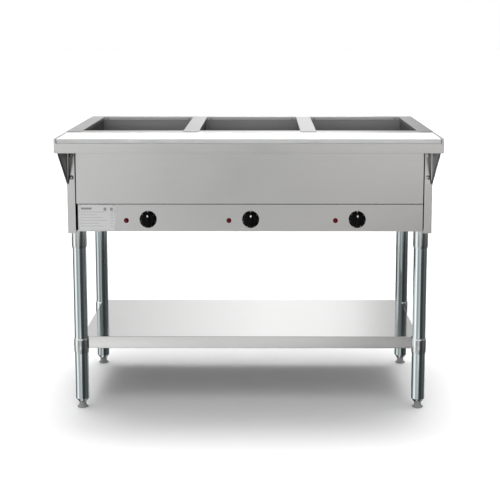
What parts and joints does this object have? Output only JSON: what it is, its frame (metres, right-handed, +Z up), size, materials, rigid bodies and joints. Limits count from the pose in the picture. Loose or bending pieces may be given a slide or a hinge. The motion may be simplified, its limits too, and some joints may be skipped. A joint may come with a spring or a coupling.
{
  "type": "electric steam table",
  "caption": "Open-well electric steam table: stainless body with side-by-side pan wells, front cutting-board shelf, heat knobs and lamps, galvanised tube legs, undershelf.",
  "frame": {"origin": "on the floor, under the middle of the unit's outline", "axes": "+X to the operator's right along the length, +Y from the front shelf to the back, +Z up"},
  "size_m": [1.118, 0.826, 0.875],
  "materials": {
    "stainless": "satin stainless sheet with a fine lengthwise grain",
    "galvanised": "plain galvanised sheet",
    "well_steel": "dull galvanised sheet, lightly heat-stained",
    "leg_tube": "bright galvanised tube with a cool tint",
    "collar": "tumbled cast aluminium",
    "foot_plastic": "grey moulded nylon",
    "screws": "polished stainless",
    "set_screws": "black oxide",
    "element": "oxidised alloy sheath",
    "insulation": "mineral wool board",
    "switch_body": "moulded phenolic",
    "lamp": "clear red lens, unlit",
    "terminal": "moulded, off-white",
    "wire": "silicone-covered wire",
    "gland": "black nylon",
    "label": "silver-grey foil with plain ruled lines",
    "knob": "black phenolic",
    "board": "white polyethylene"
  },
  "bodies": {
    "table": {"deck_front_rail": "stainless", "deck_back_rail": "stainless", "deck_side_strip_left": "stainless", "deck_side_strip_right": "stainless", "deck_divider_left": "stainless", "deck_divider_right": "stainless", "divider_channels": "galvanised", "front_panel": "stainless", "control_panel": "stainless", "side_panel_left": "stainless", "side_panel_right": "stainless", "back_panel": "stainless", "bottom_panel": "galvanised", "shelf_tray": "stainless", "shelf_bracket_left": "stainless", "shelf_bracket_right": "stainless", "bracket_screws": "screws", "well_liner_left": "well_steel", "well_liner_middle": "well_steel", "well_liner_right": "well_steel", "heating_element_left": "element", "heating_element_middle": "element", "heating_element_right": "element", "element_supports": "galvanised", "well_insulation": "insulation", "heat_switch_left": "switch_body", "heat_switch_middle": "switch_body", "heat_switch_right": "switch_body", "indicator_lamp_left": "lamp", "indicator_lamp_middle": "lamp", "indicator_lamp_right": "lamp", "terminal_block": "terminal", "wiring_harness": "wire", "cord_gland": "gland", "rating_label": "label", "panel_screws": "screws", "undershelf": "stainless", "shelf_stiffener": "galvanised", "shelf_collars": "collar", "leg_set_screws": "set_screws", "leg_inserts": "collar", "leg_socket_front_left": "collar", "leg_front_left": "leg_tube", "leg_socket_front_right": "collar", "leg_front_right": "leg_tube", "leg_socket_back_left": "collar", "leg_back_left": "leg_tube", "leg_socket_back_right": "collar", "leg_back_right": "leg_tube"},
    "dial_left": {"knob_left": "knob", "knob_shaft_left": "screws"},
    "dial_middle": {"knob_middle": "knob", "knob_shaft_middle": "screws"},
    "dial_right": {"knob_right": "knob", "knob_shaft_right": "screws"},
    "leveller_front_left": {"foot_front_left": "foot_plastic"},
    "leveller_front_right": {"foot_front_right": "foot_plastic"},
    "leveller_back_left": {"foot_back_left": "foot_plastic"},
    "leveller_back_right": {"foot_back_right": "foot_plastic"},
    "board": {"cutting_board": "board"}
  },
  "joints": [
    {"name": "dial_left_turn", "type": "hinge", "parent": "table", "child": "dial_left", "pos_m": [-0.3105, -0.2068, 0.608], "axis": [0, 1, 0], "range_deg": [0, 300]},
    {"name": "dial_middle_turn", "type": "hinge", "parent": "table", "child": "dial_middle", "pos_m": [0.003, -0.2068, 0.608], "axis": [0, 1, 0], "range_deg": [0, 300]},
    {"name": "dial_right_turn", "type": "hinge", "parent": "table", "child": "dial_right", "pos_m": [0.3285, -0.2068, 0.608], "axis": [0, 1, 0], "range_deg": [0, 300]},
    {"name": "foot_front_left_height", "type": "slide", "parent": "table", "child": "leveller_front_left", "axis": [0, 0, -1], "range_m": [-0.01, 0.025]},
    {"name": "foot_front_right_height", "type": "slide", "parent": "table", "child": "leveller_front_right", "axis": [0, 0, -1], "range_m": [-0.01, 0.025]},
    {"name": "foot_back_left_height", "type": "slide", "parent": "table", "child": "leveller_back_left", "axis": [0, 0, -1], "range_m": [-0.01, 0.025]},
    {"name": "foot_back_right_height", "type": "slide", "parent": "table", "child": "leveller_back_right", "axis": [0, 0, -1], "range_m": [-0.01, 0.025]},
    {"name": "board_lift", "type": "slide", "parent": "table", "child": "board", "axis": [0, 0, 1], "range_m": [0, 0.15]}
  ]
}
